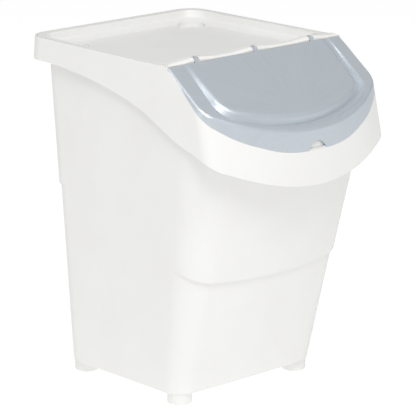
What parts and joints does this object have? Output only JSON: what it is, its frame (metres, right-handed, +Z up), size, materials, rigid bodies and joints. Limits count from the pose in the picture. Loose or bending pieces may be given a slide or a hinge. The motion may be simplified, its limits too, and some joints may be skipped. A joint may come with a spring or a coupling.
{
  "type": "pet food bin",
  "caption": "Stackable tapered storage bin with corner feet, flared collar and front lip, sunk stacking cover and a hinged sloping front flap with a finger notch.",
  "frame": {"origin": "middle of the bounding box on the floor, under the four feet", "axes": "+Z up, the flap faces -Y, +X to the right of someone who faces the flap from behind it"},
  "size_m": [0.3032, 0.3991, 0.4551],
  "materials": {
    "white_plastic": "satin moulded polypropylene, fine texture",
    "grey_plastic": "smooth blue-grey moulded polypropylene, soft gloss"
  },
  "bodies": {
    "tub": {"tub": "white_plastic"},
    "top_cover": {"top_cover": "white_plastic"},
    "flap": {"flap": "grey_plastic"}
  },
  "joints": [
    {"name": "cover_lift", "type": "slide", "parent": "tub", "child": "top_cover", "axis": [0, 0, 1], "range_m": [0, 0.12]},
    {"name": "flap_hinge", "type": "hinge", "parent": "top_cover", "child": "flap", "pos_m": [0, -0.073, 0.4475], "axis": [-1, 0, 0], "range_deg": [0, 130]}
  ]
}
